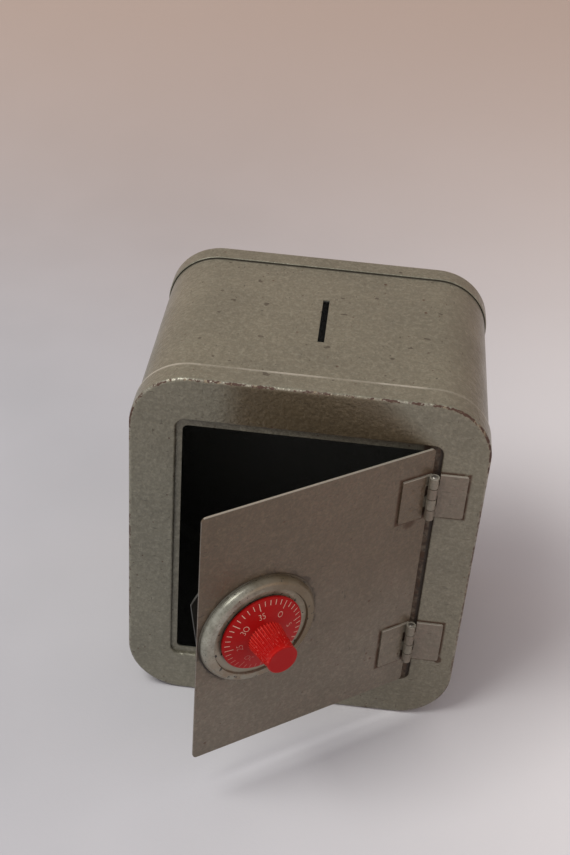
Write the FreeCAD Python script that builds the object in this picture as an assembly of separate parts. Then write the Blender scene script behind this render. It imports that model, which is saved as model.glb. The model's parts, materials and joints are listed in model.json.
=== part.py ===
import FreeCAD, Part
import math
import os

# Toy safe coin bank: a sheet-metal box with a hinged door, a red combination dial and a coin slot.
# Millimetres, +Z up, front face towards -Y. The origin is on the resting plane, in the middle of the
# strip on which the front cap's flange stands.

Vector = FreeCAD.Vector
UP = Vector(0, 0, 1)
BACKWARD = Vector(0, 1, 0)

# ---- driving dimensions -------------------------------------------------------------------
SHEET = 0.7                      # thickness of every pressed sheet
WIDTH = 131.0
HEIGHT = 153.0
DEPTH = 99.4
CORNER_RADIUS = 22.0             # rounded corners of the box, seen from the front
BEND_RADIUS = 1.4                # outer bend between a cap's face and its flange
FLANGE_EDGE = 0.35               # rounding of a flange's free edge
FRONT_FLANGE = 11.0              # how far the front cap reaches back over the wrapper

FRONT_Y = -(FRONT_FLANGE - FLANGE_EDGE + BEND_RADIUS) / 2
REAR_Y = FRONT_Y + DEPTH
MIDDLE_Z = HEIGHT / 2

SLIP_FIT = 0.05                  # between a cap's flange and the wrapper inside it
REAR_FLANGE = 8.7
LIFTED_EDGE = 0.3                # the rear cap's free edge stands this far off the wrapper
LIFTED_LENGTH = 1.2
LAP_SEAM = 9.0                   # overlap where the wrapper's two ends are joined
SEAM_GAP = 0.4

# coin slot in the roof, its long side front to back
SLOT_LENGTH = 31.0
SLOT_WIDTH = 2.5
SLOT_FROM_FRONT = 50.4           # front face to the slot's middle

# door recess pressed into the front face, with a ledge around the opening
RECESS_WIDTH = 96.4
RECESS_HEIGHT = 116.0
RECESS_MIDDLE_Z = 77.2
RECESS_DEPTH = 1.3
RECESS_CORNER = 3.6
RECESS_SHOULDER = 0.8            # soft edge where the face steps down
LEDGE_LOCK_SIDE = 2.25
LEDGE_HINGE_SIDE = 4.2
LEDGE_TOP = 2.9
OPENING_CORNER = 2.2

# hinges: two small butt hinges on the outer faces
HINGE_AXIS_X = 46.2
HINGE_STAND_OFF = 2.2            # axis in front of the front face
BARREL_RADIUS = 1.85
PIN_RADIUS = 1.1
RUNNING_FIT = 0.05
PRESSED_FIT = 0.01
HINGE_HEIGHT = 19.2
LEAF_REACH = 12.5                # axis to the leaf's far edge
LEAF_CORNER = 0.8
KNUCKLES = 4
KNUCKLE_GAP = 0.3
KNUCKLE_CLEARANCE = 0.4          # leaf notch around the other leaf's knuckle
LEAF_RELIEF = 0.3                # the frame's leaf is thinned at the back where the door passes under it
PIN_PROUD = 0.3
UPPER_HINGE_Z = 114.2
LOWER_HINGE_Z = 41.7
WELD_RADIUS = 1.1                # spot-weld dimples that hold each leaf
WELD_DEPTH = 0.15
WELD_SPACING = 8.0

# door: drawn closed, then swung open
DOOR_OPEN_ANGLE = 35.2
DOOR_PAST_AXIS = 0.6             # the door's hinge-side edge lies this far past the axis
DOOR_REACH = 92.9                # axis to the door's free edge
DOOR_HEIGHT = 115.2
DOOR_CORNER = 1.8

# dial on the door; distances in front of the door's outer face unless they say "behind"
DIAL_FROM_AXIS = 68.9
DIAL_Z = 77.2
DIAL_RADIUS = 16.1
DIAL_BACK = 2.9
DIAL_RIM = 4.1                   # the numbered face is a shallow cone from its rim up to the knob
DIAL_FACE = 6.3
DIAL_RIM_BEVEL = 0.35
DIAL_HUB_RADIUS = 6.5
DIAL_HUB_BACK = 1.4
KNOB_BASE_RADIUS = 6.9
KNOB_TIP_RADIUS = 5.9
KNOB_FACE = 18.9
KNOB_COLLAR = 2.2                # smooth band at the knob's tip
FLUTES = 34
FLUTE_RADIUS = 0.42
KNOB_BORE_DEPTH = 13.0

BEZEL_RADIUS = 23.7              # outer edge of its thin rim on the door
BEZEL_RIM = 0.6                  # width of that rim
BEZEL_CREST_RADIUS = 20.8
BEZEL_CREST = 3.5
BEZEL_LIP_RADIUS = 19.1          # inner edge of the rounded crest
BEZEL_DISH_RADIUS = 18.7         # the shallow dish inside the crest
BEZEL_DISH = 2.6
BEZEL_DISH_INNER_RADIUS = 15.0
BEZEL_DISH_INNER = 2.1
BEZEL_FLOOR_RADIUS = 12.0        # flat floor that lies on the door
BEZEL_SHEET = 0.45

SPINDLE_RADIUS = 2.0
BUSHING_RADIUS = 3.2
BUSHING_FLANGE = 5.2
BUSHING_LIP = 0.6
WASHER = 0.6
BACKING_RADIUS = 9.0

# lock stack behind the door
RUN_GAP = 0.3                    # end play between turning and fixed pieces
DISC_SHEET = 0.8
DRIVE_DISC_BEHIND = 8.8          # its front face behind the door's outer face
DRIVE_DISC_RADIUS = 24.9
DRIVE_DISC_FLAT = 20.4           # axis to the flat cut
DISC_TURN = 8.0                  # how far the flat is turned from upright
SPINDLE_FLAT = 1.5               # axis to the flat on the spindle that drives the disc
SPACER_RADIUS = 3.6
WAVE_WASHER_RADIUS = 5.5
WAVE_HEIGHT = 0.5
WAVES = 3
RETAINER_RADIUS = 3.4
RETAINER_THICKNESS = 0.9
SPINDLE_TAIL = 0.6

MARGIN = 1.0                     # how far a cutting tool runs past what it cuts

HINGE_AXIS = Vector(HINGE_AXIS_X, FRONT_Y - HINGE_STAND_OFF, 0)
DIAL_X = HINGE_AXIS_X - DIAL_FROM_AXIS


# ---- general helpers ----------------------------------------------------------------------
def runs_along_y(edge):
    return abs(edge.Vertexes[0].Y - edge.Vertexes[-1].Y) > MARGIN / 10


def lies_at_y(edge, y):
    return all(abs(vertex.Y - y) < MARGIN / 1000 for vertex in edge.Vertexes)


def rounded_block(width, height, corner, y_from, y_to, middle_x=0.0, middle_z=MIDDLE_Z):
    """A block with its long edges rounded, seen from the front as a rounded rectangle."""
    start = Vector(middle_x - width / 2, y_from, middle_z - height / 2)
    block = Part.makeBox(width, y_to - y_from, height, start)
    return block.makeFillet(corner, [edge for edge in block.Edges if runs_along_y(edge)])


def inset_block(inset, y_from, y_to):
    """The outline of the whole box drawn in by `inset`, between two depths."""
    return rounded_block(WIDTH - 2 * inset, HEIGHT - 2 * inset, CORNER_RADIUS - inset, y_from, y_to)


def round_flange_edge(cap, y):
    """Round the outer corner of a flange's free edge, which lies at one depth."""
    reach = WIDTH / 2 - CORNER_RADIUS
    outside = []
    for edge in cap.Edges:
        middle = edge.valueAt((edge.FirstParameter + edge.LastParameter) / 2)
        across = max(abs(middle.x) - reach, 0)
        upward = max(abs(middle.z - MIDDLE_Z) - (MIDDLE_Z - CORNER_RADIUS), 0)
        if lies_at_y(edge, y) and math.hypot(across, upward) > CORNER_RADIUS - SHEET / 2:
            outside.append(edge)
    return cap.makeFillet(FLANGE_EDGE, outside)


def bend_at(block, y, radius):
    """Round the edges of the face that lies at one depth."""
    return block.makeFillet(radius, [edge for edge in block.Edges if lies_at_y(edge, y)])


def dial_cylinder(radius, front, behind):
    """A cylinder on the dial's axis; `front` and `behind` are measured back from the door's face."""
    start = Vector(DIAL_X, FRONT_Y + front, DIAL_Z)
    return Part.makeCylinder(radius, behind - front, start, BACKWARD)


def dial_ring(outer, inner, front, behind):
    return dial_cylinder(outer, front, behind).cut(dial_cylinder(inner, front - MARGIN, behind + MARGIN))


def dial_revolve(outline):
    """Turn an outline of (radius, distance in front of the door) points about the dial's axis."""
    points = [Vector(DIAL_X + radius, FRONT_Y - front, DIAL_Z) for radius, front in outline]
    face = Part.Face(Part.makePolygon(points + [points[0]]))
    return face.revolve(Vector(DIAL_X, 0, DIAL_Z), BACKWARD, 360)


def swing_open(shape):
    """Swing a piece of the closed door out to where the door stands."""
    opened = shape.copy()
    opened.rotate(HINGE_AXIS, UP, DOOR_OPEN_ANGLE)
    return opened


# ---- box ----------------------------------------------------------------------------------
def make_front_panel():
    outer = bend_at(inset_block(0, FRONT_Y, FRONT_Y + FRONT_FLANGE), FRONT_Y, BEND_RADIUS)
    hollow_front = FRONT_Y + SHEET
    hollow = inset_block(SHEET, hollow_front, FRONT_Y + FRONT_FLANGE + MARGIN)
    panel = outer.cut(bend_at(hollow, hollow_front, BEND_RADIUS - SHEET))

    ledge_back = FRONT_Y + RECESS_DEPTH + SHEET
    surround = rounded_block(RECESS_WIDTH + 2 * SHEET, RECESS_HEIGHT + 2 * SHEET, RECESS_CORNER + SHEET,
                             FRONT_Y + SHEET / 2, ledge_back, middle_z=RECESS_MIDDLE_Z)
    pocket = rounded_block(RECESS_WIDTH, RECESS_HEIGHT, RECESS_CORNER,
                           FRONT_Y - MARGIN, FRONT_Y + RECESS_DEPTH, middle_z=RECESS_MIDDLE_Z)
    opening_width = RECESS_WIDTH - LEDGE_LOCK_SIDE - LEDGE_HINGE_SIDE
    opening = rounded_block(opening_width, RECESS_HEIGHT - 2 * LEDGE_TOP, OPENING_CORNER,
                            FRONT_Y - MARGIN, ledge_back + MARGIN,
                            middle_x=(LEDGE_LOCK_SIDE - LEDGE_HINGE_SIDE) / 2, middle_z=RECESS_MIDDLE_Z)
    panel = panel.fuse(surround).removeSplitter().cut(pocket).cut(opening)

    half_recess = Vector(RECESS_WIDTH / 2, 0, RECESS_HEIGHT / 2)
    shoulder = []
    for edge in panel.Edges:
        beside = all(abs(vertex.X) < half_recess.x + MARGIN / 10 for vertex in edge.Vertexes)
        level = all(abs(vertex.Z - RECESS_MIDDLE_Z) < half_recess.z + MARGIN / 10 for vertex in edge.Vertexes)
        if lies_at_y(edge, FRONT_Y) and beside and level:
            shoulder.append(edge)
    return round_flange_edge(panel.makeFillet(RECESS_SHOULDER, shoulder), FRONT_Y + FRONT_FLANGE)


def make_rear_cap():
    outer = bend_at(inset_block(0, REAR_Y - REAR_FLANGE, REAR_Y), REAR_Y, BEND_RADIUS)
    hollow = inset_block(SHEET, REAR_Y - REAR_FLANGE - MARGIN, REAR_Y - SHEET)
    cap = outer.cut(bend_at(hollow, REAR_Y - SHEET, BEND_RADIUS - SHEET))
    lifted = inset_block(SHEET - LIFTED_EDGE, REAR_Y - REAR_FLANGE - MARGIN,
                         REAR_Y - REAR_FLANGE + LIFTED_LENGTH)
    return round_flange_edge(cap, REAR_Y - REAR_FLANGE).cut(lifted)


def make_body_wrapper():
    y_from = FRONT_Y + BEND_RADIUS + SHEET
    y_to = REAR_Y - BEND_RADIUS - SHEET
    outside = SHEET + SLIP_FIT
    band = inset_block(outside, y_from, y_to)
    band = band.cut(inset_block(outside + SHEET, y_from - MARGIN, y_to + MARGIN))

    slot_start = Vector(-SLOT_WIDTH / 2, FRONT_Y + SLOT_FROM_FRONT - SLOT_LENGTH / 2, MIDDLE_Z)
    band = band.cut(Part.makeBox(SLOT_WIDTH, SLOT_LENGTH, HEIGHT, slot_start))

    seam = Part.makeBox(SEAM_GAP, DEPTH, MIDDLE_Z, Vector(-SEAM_GAP / 2, FRONT_Y, 0))
    lap_start = Vector(-SEAM_GAP / 2, y_from, outside + SHEET)
    lap = Part.makeBox(LAP_SEAM, y_to - y_from, SHEET, lap_start)
    return band.cut(seam).fuse(lap.translated(Vector(-LAP_SEAM / 2, 0, 0))).removeSplitter()


# ---- hinges -------------------------------------------------------------------------------
def knuckle_span(number):
    """Bottom and top of one knuckle, counted from the top of the hinge and measured from its middle."""
    pitch = HINGE_HEIGHT / KNUCKLES
    top = HINGE_HEIGHT / 2 - number * pitch
    return top - pitch + KNUCKLE_GAP / 2, top - KNUCKLE_GAP / 2


def make_hinge_leaf(middle_z, side, first_knuckle, bore):
    """One leaf with its rolled knuckles. `side` is +1 for the frame's leaf and -1 for the door's."""
    back = FRONT_Y
    front = FRONT_Y - SHEET
    half = HINGE_HEIGHT / 2
    near = HINGE_AXIS_X if side > 0 else HINGE_AXIS_X - LEAF_REACH
    plate = Part.makeBox(LEAF_REACH, back - front, HINGE_HEIGHT, Vector(near, front, middle_z - half))
    far_x = HINGE_AXIS_X + side * LEAF_REACH
    far_corners = [edge for edge in plate.Edges
                   if runs_along_y(edge) and abs(edge.Vertexes[0].X - far_x) < MARGIN / 10]
    leaf = plate.makeFillet(LEAF_CORNER, far_corners)

    notch = BARREL_RADIUS + KNUCKLE_CLEARANCE
    for number in range(KNUCKLES):
        bottom, top = knuckle_span(number)
        if number % 2 == first_knuckle:
            start = Vector(HINGE_AXIS_X, HINGE_AXIS.y, middle_z + bottom)
            leaf = leaf.fuse(Part.makeCylinder(BARREL_RADIUS, top - bottom, start, UP))
        else:
            start = Vector(HINGE_AXIS_X - notch, front - MARGIN, middle_z + bottom - KNUCKLE_GAP)
            gap_height = top - bottom + 2 * KNUCKLE_GAP
            leaf = leaf.cut(Part.makeBox(2 * notch, MARGIN + SHEET + MARGIN, gap_height, start))
    if side > 0:
        relief_start = Vector(HINGE_AXIS_X - notch, back - LEAF_RELIEF, middle_z - half - MARGIN)
        relief_width = notch + DOOR_PAST_AXIS + KNUCKLE_CLEARANCE
        relief_height = HINGE_HEIGHT + 2 * MARGIN
        leaf = leaf.cut(Part.makeBox(relief_width, LEAF_RELIEF + MARGIN, relief_height, relief_start))
    bore_start = Vector(HINGE_AXIS_X, HINGE_AXIS.y, middle_z - half - MARGIN)
    leaf = leaf.cut(Part.makeCylinder(bore, HINGE_HEIGHT + 2 * MARGIN, bore_start, UP))

    weld_x = HINGE_AXIS_X + side * (LEAF_REACH + notch) / 2
    for offset in (-WELD_SPACING / 2, WELD_SPACING / 2):
        start = Vector(weld_x, front, middle_z + offset)
        leaf = leaf.cut(Part.makeCone(WELD_RADIUS, WELD_RADIUS / 2, WELD_DEPTH, start, BACKWARD))
    return leaf.removeSplitter()


def make_hinge_pin(middle_z):
    length = HINGE_HEIGHT - KNUCKLE_GAP + 2 * PIN_PROUD
    start = Vector(HINGE_AXIS_X, HINGE_AXIS.y, middle_z - length / 2)
    pin = Part.makeCylinder(PIN_RADIUS, length, start, UP)
    return pin.makeChamfer(PIN_PROUD, [pin.Edges[0], pin.Edges[2]])


def make_hinge(middle_z):
    frame_leaf = make_hinge_leaf(middle_z, 1, 1, PIN_RADIUS + PRESSED_FIT)
    door_leaf = make_hinge_leaf(middle_z, -1, 0, PIN_RADIUS + RUNNING_FIT)
    return frame_leaf, swing_open(door_leaf), make_hinge_pin(middle_z)


# ---- door ---------------------------------------------------------------------------------
def make_door_panel():
    width = DOOR_REACH + DOOR_PAST_AXIS
    middle_x = HINGE_AXIS_X - (DOOR_REACH - DOOR_PAST_AXIS) / 2
    sheet = rounded_block(width, DOOR_HEIGHT, DOOR_CORNER, FRONT_Y, FRONT_Y + SHEET,
                          middle_x=middle_x, middle_z=RECESS_MIDDLE_Z)
    return swing_open(sheet.cut(dial_cylinder(BUSHING_RADIUS + SLIP_FIT, -MARGIN, MARGIN)))


def bezel_profile(drop):
    """The bezel's outer surface from the floor to the rim, moved in by `drop` for its underside."""
    profile = [(BEZEL_FLOOR_RADIUS + drop, BEZEL_SHEET - drop),
               (BEZEL_DISH_INNER_RADIUS, BEZEL_DISH_INNER - drop),
               (BEZEL_DISH_RADIUS + drop, BEZEL_DISH - drop),
               (BEZEL_LIP_RADIUS + drop, BEZEL_CREST - drop)]
    steps = 8
    skirt = BEZEL_RADIUS - BEZEL_RIM - drop
    foot = BEZEL_SHEET - drop
    for step in range(1, steps + 1):
        angle = math.radians(90 * step / steps)
        radius = BEZEL_CREST_RADIUS + (skirt - BEZEL_CREST_RADIUS) * math.sin(angle)
        profile.append((radius, foot + (BEZEL_CREST - BEZEL_SHEET) * math.cos(angle)))
    return profile


def make_dial_bezel():
    """A pressed ring: flat floor, shallow dish, rounded crest, skirt and a thin rim on the door."""
    hole = BUSHING_RADIUS + SLIP_FIT
    outer = [(hole, BEZEL_SHEET)] + bezel_profile(0) + [(BEZEL_RADIUS, BEZEL_SHEET), (BEZEL_RADIUS, 0)]
    underside = [(hole, 0)] + bezel_profile(BEZEL_SHEET)
    return swing_open(dial_revolve(underside + outer[::-1]))


def make_dial_bushing():
    """An eyelet through the bezel, the door and the backing washer, turned over at both ends."""
    front_lip = dial_cylinder(BUSHING_FLANGE, -BEZEL_SHEET - BUSHING_LIP, -BEZEL_SHEET)
    rear = SHEET + WASHER
    barrel = dial_cylinder(BUSHING_RADIUS, -BEZEL_SHEET, rear)
    rear_lip = dial_cylinder(BUSHING_FLANGE - BUSHING_LIP, rear, rear + BUSHING_LIP)
    bore = dial_cylinder(SPINDLE_RADIUS + RUNNING_FIT, -DIAL_BACK, DRIVE_DISC_BEHIND)
    return swing_open(front_lip.fuse([barrel, rear_lip]).removeSplitter().cut(bore))


def make_backing_washer():
    return swing_open(dial_ring(BACKING_RADIUS, BUSHING_RADIUS + SLIP_FIT, SHEET, SHEET + WASHER))


# ---- dial and lock ------------------------------------------------------------------------
def make_combination_dial():
    """The coned dial and its tapered fluted knob, one moulding with a blind bore for the spindle."""
    collar = KNOB_FACE - KNOB_COLLAR
    tip_bevel = DIAL_RIM_BEVEL
    outline = [(0, DIAL_HUB_BACK), (DIAL_HUB_RADIUS, DIAL_HUB_BACK), (DIAL_HUB_RADIUS, DIAL_BACK),
               (DIAL_RADIUS, DIAL_BACK), (DIAL_RADIUS, DIAL_RIM - DIAL_RIM_BEVEL),
               (DIAL_RADIUS - DIAL_RIM_BEVEL, DIAL_RIM), (KNOB_BASE_RADIUS, DIAL_FACE),
               (KNOB_TIP_RADIUS, collar), (KNOB_TIP_RADIUS, KNOB_FACE - tip_bevel),
               (KNOB_TIP_RADIUS - tip_bevel, KNOB_FACE), (0, KNOB_FACE)]
    dial = dial_revolve(outline)

    taper = math.degrees(math.atan2(KNOB_BASE_RADIUS - KNOB_TIP_RADIUS, collar - DIAL_FACE))
    length = math.hypot(KNOB_BASE_RADIUS - KNOB_TIP_RADIUS, collar - DIAL_FACE)
    start = Vector(DIAL_X + KNOB_BASE_RADIUS, FRONT_Y - DIAL_FACE, DIAL_Z)
    along = Vector(-math.sin(math.radians(taper)), -math.cos(math.radians(taper)), 0)
    groove = Part.makeCylinder(FLUTE_RADIUS, length, start, along)
    grooves = []
    for number in range(FLUTES):
        turned = groove.copy()
        turned.rotate(Vector(DIAL_X, 0, DIAL_Z), BACKWARD, 360 * number / FLUTES)
        grooves.append(turned)
    dial = dial.cut(grooves)
    bore = dial_cylinder(SPINDLE_RADIUS + PRESSED_FIT, -DIAL_HUB_BACK - KNOB_BORE_DEPTH, 0)
    return swing_open(dial.cut(bore))


def stop_washer_front():
    return DRIVE_DISC_BEHIND + DISC_SHEET


def retainer_front():
    return stop_washer_front() + WASHER


def beyond_spindle_flat(gap, front, behind):
    """What the spindle's flat cuts away; the drive disc's hole keeps it, less a small gap."""
    start = Vector(DIAL_X - SPINDLE_RADIUS - MARGIN, FRONT_Y + front, DIAL_Z + SPINDLE_FLAT + gap)
    return Part.makeBox(2 * (SPINDLE_RADIUS + MARGIN), behind - front, SPINDLE_RADIUS, start)


def make_dial_spindle():
    front = -DIAL_HUB_BACK - KNOB_BORE_DEPTH + RUN_GAP
    rod = dial_cylinder(SPINDLE_RADIUS, front, retainer_front() + RETAINER_THICKNESS + SPINDLE_TAIL)
    return swing_open(rod.cut(beyond_spindle_flat(0, DRIVE_DISC_BEHIND, DRIVE_DISC_BEHIND + DISC_SHEET)))


def make_wave_washer():
    """A thin spring washer bent into waves around its ring."""
    bottom = SHEET + WASHER + BUSHING_LIP + RUN_GAP
    inner = SPINDLE_RADIUS + PRESSED_FIT
    segments = 12 * WAVES
    rings = []
    for radius, lift in ((inner, 0), (WAVE_WASHER_RADIUS, 0),
                         (WAVE_WASHER_RADIUS, WASHER / 2), (inner, WASHER / 2)):
        points = []
        for number in range(segments):
            angle = 2 * math.pi * number / segments
            wave = WAVE_HEIGHT / 2 * (1 + math.cos(WAVES * angle))
            points.append(Vector(DIAL_X + radius * math.cos(angle), FRONT_Y + bottom + lift + wave,
                                 DIAL_Z + radius * math.sin(angle)))
        curve = Part.BSplineCurve()
        curve.interpolate(points, PeriodicFlag=True)
        rings.append(Part.Wire(curve.toShape()))
    faces = []
    for first, second in zip(rings, rings[1:] + rings[:1]):
        faces.extend(Part.makeRuledSurface(first, second).Faces)
    shell = Part.makeShell(faces)
    shell.sewShape()
    washer = Part.makeSolid(shell)
    if washer.Volume < 0:
        washer.reverse()
    return swing_open(washer)


def make_spacer_sleeve():
    front = SHEET + WASHER + BUSHING_LIP + RUN_GAP + WAVE_HEIGHT + WASHER / 2
    return swing_open(dial_ring(SPACER_RADIUS, SPINDLE_RADIUS + PRESSED_FIT, front, DRIVE_DISC_BEHIND))


def make_drive_disc():
    """A round disc with one flat cut, which faces the door's free edge and leans by DISC_TURN."""
    front = DRIVE_DISC_BEHIND
    behind = front + DISC_SHEET
    disc = dial_cylinder(DRIVE_DISC_RADIUS, front, behind)
    start = Vector(DIAL_X - DRIVE_DISC_FLAT - DRIVE_DISC_RADIUS, FRONT_Y + front - MARGIN,
                   DIAL_Z - DRIVE_DISC_RADIUS)
    beyond = Part.makeBox(DRIVE_DISC_RADIUS, DISC_SHEET + 2 * MARGIN, 2 * DRIVE_DISC_RADIUS, start)
    beyond.rotate(Vector(DIAL_X, 0, DIAL_Z), BACKWARD, -DISC_TURN)
    hole = dial_cylinder(SPINDLE_RADIUS + PRESSED_FIT, front - MARGIN, behind + MARGIN)
    hole = hole.cut(beyond_spindle_flat(PRESSED_FIT, front - MARGIN, behind + MARGIN))
    return swing_open(disc.cut(beyond).cut(hole))


def make_stop_washer():
    front = stop_washer_front()
    return swing_open(dial_ring(WAVE_WASHER_RADIUS, SPINDLE_RADIUS + PRESSED_FIT, front, front + WASHER))


def make_spindle_retainer():
    """A push-on retaining ring, notched on one side."""
    front = retainer_front()
    ring = dial_ring(RETAINER_RADIUS, SPINDLE_RADIUS + PRESSED_FIT, front, front + RETAINER_THICKNESS)
    notch_start = Vector(DIAL_X - SPINDLE_RADIUS / 2, FRONT_Y + front - MARGIN, DIAL_Z)
    notch = Part.makeBox(SPINDLE_RADIUS, RETAINER_THICKNESS + 2 * MARGIN, 2 * RETAINER_RADIUS, notch_start)
    return swing_open(ring.cut(notch))


# ---- write every piece --------------------------------------------------------------------
def make_all_pieces():
    upper_frame, upper_door, upper_pin = make_hinge(UPPER_HINGE_Z)
    lower_frame, lower_door, lower_pin = make_hinge(LOWER_HINGE_Z)
    return {
        "front_panel": make_front_panel(),
        "body_wrapper": make_body_wrapper(),
        "rear_cap": make_rear_cap(),
        "upper_hinge_frame_leaf": upper_frame,
        "upper_hinge_door_leaf": upper_door,
        "upper_hinge_pin": upper_pin,
        "lower_hinge_frame_leaf": lower_frame,
        "lower_hinge_door_leaf": lower_door,
        "lower_hinge_pin": lower_pin,
        "door_panel": make_door_panel(),
        "dial_bezel": make_dial_bezel(),
        "dial_bushing": make_dial_bushing(),
        "door_backing_washer": make_backing_washer(),
        "combination_dial": make_combination_dial(),
        "dial_spindle": make_dial_spindle(),
        "wave_washer": make_wave_washer(),
        "spacer_sleeve": make_spacer_sleeve(),
        "drive_disc": make_drive_disc(),
        "stop_washer": make_stop_washer(),
        "spindle_retainer": make_spindle_retainer(),
    }


os.makedirs("parts", exist_ok=True)
for name, shape in make_all_pieces().items():
    shape.exportStep("parts/" + name + ".step")
    box = shape.BoundBox
    print(name, len(shape.Solids), shape.isValid(), round(shape.Volume, 2),
          [round(value, 2) for value in (box.XMin, box.YMin, box.ZMin, box.XMax, box.YMax, box.ZMax)])
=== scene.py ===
import json
import math

import bmesh
import bpy
from mathutils import Matrix, Vector


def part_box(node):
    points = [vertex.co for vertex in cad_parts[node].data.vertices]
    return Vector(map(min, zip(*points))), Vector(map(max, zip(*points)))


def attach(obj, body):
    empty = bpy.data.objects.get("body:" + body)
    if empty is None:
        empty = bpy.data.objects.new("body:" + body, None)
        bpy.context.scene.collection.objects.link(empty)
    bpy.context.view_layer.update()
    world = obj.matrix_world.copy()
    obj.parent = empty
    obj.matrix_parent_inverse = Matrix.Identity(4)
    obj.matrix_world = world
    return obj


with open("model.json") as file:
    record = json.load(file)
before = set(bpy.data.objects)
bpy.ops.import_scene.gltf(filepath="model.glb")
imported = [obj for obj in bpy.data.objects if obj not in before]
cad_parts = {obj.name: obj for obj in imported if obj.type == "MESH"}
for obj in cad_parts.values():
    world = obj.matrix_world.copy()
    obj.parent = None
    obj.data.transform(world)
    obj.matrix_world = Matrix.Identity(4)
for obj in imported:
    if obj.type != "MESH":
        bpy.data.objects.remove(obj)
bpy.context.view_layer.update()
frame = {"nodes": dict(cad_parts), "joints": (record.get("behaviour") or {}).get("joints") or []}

# ---- measures, all worked out from the frame (metres) --------------------------------------
MM = 0.001
NODES = frame["nodes"]
FRONT_LOW, FRONT_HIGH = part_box("front_panel")
REAR_LOW, REAR_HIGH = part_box("rear_cap")
HALF_WIDTH = (FRONT_HIGH.x - FRONT_LOW.x) / 2
HEIGHT = FRONT_HIGH.z
FRONT_Y = FRONT_LOW.y
REAR_Y = REAR_HIGH.y
FRONT_FLANGE_END = FRONT_HIGH.y
REAR_FLANGE_START = REAR_LOW.y
CORNER = HALF_WIDTH * 0.336           # the box's rounded corners, seen from the front
FACE_BEND = 1.4 * MM                  # the bend between a cap's face and its flange
RIM_WIDTH = 8 * MM                    # less than the face's rim around the door's recess
RECESS_BEYOND_AXIS = 2.0 * MM         # from the hinge's axis to the recess's wall
LEDGE_DEPTH = 1.25 * MM               # from the face back to the recess's ledge

JOINTS = {joint["name"]: joint for joint in frame["joints"]}
DIAL_AXIS = Vector(JOINTS["dial_turn"]["axis"]).normalized()
DIAL_ORIGIN = Vector(JOINTS["dial_turn"]["pos_m"])
HINGE_POINT = Vector(JOINTS["door_hinge"]["pos_m"])
DOOR_ACROSS = Vector((0, 0, 1)).cross(DIAL_AXIS)      # from the dial towards the hinge, along the door
UP = Vector((0, 0, 1))


def dial_frame():
    """A frame where the dial's axis meets the door's outer face: x across the door, y up and z out of it."""
    axes = Matrix((DOOR_ACROSS, UP, DIAL_AXIS)).transposed().to_4x4()
    return Matrix.Translation(DIAL_ORIGIN) @ axes


def points_around_dial(node):
    """Every vertex of a CAD node as its distance from the dial's axis and its height off the door's face."""
    points = []
    for vertex in NODES[node].data.vertices:
        offset = vertex.co - DIAL_ORIGIN
        height = offset.dot(DIAL_AXIS)
        points.append(((offset - DIAL_AXIS * height).length, height))
    return points


def tip_and_radius(node):
    """How far a CAD node reaches in front of the door's face, and its largest radius."""
    radii, heights = zip(*points_around_dial(node))
    return max(heights), max(radii)


# ---- small helpers -------------------------------------------------------------------------
def finish_mesh(name, bm, material, smooth=True):
    """Turn a bmesh into a named object with one material."""
    mesh = bpy.data.meshes.new(name)
    bm.to_mesh(mesh)
    bm.free()
    mesh.materials.append(material)
    for polygon in mesh.polygons:
        polygon.use_smooth = smooth
    piece = bpy.data.objects.new(name, mesh)
    bpy.context.scene.collection.objects.link(piece)
    return piece


def smooth_by_angle(mesh, angle):
    """Smooth shading with sharp edges where faces meet at more than `angle`."""
    bm = bmesh.new()
    bm.from_mesh(mesh)
    sharp = [not edge.is_manifold or edge.calc_face_angle(0) > angle for edge in bm.edges]
    bm.free()
    for polygon in mesh.polygons:
        polygon.use_smooth = True
    for edge, is_sharp in zip(mesh.edges, sharp):
        edge.use_edge_sharp = is_sharp


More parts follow.
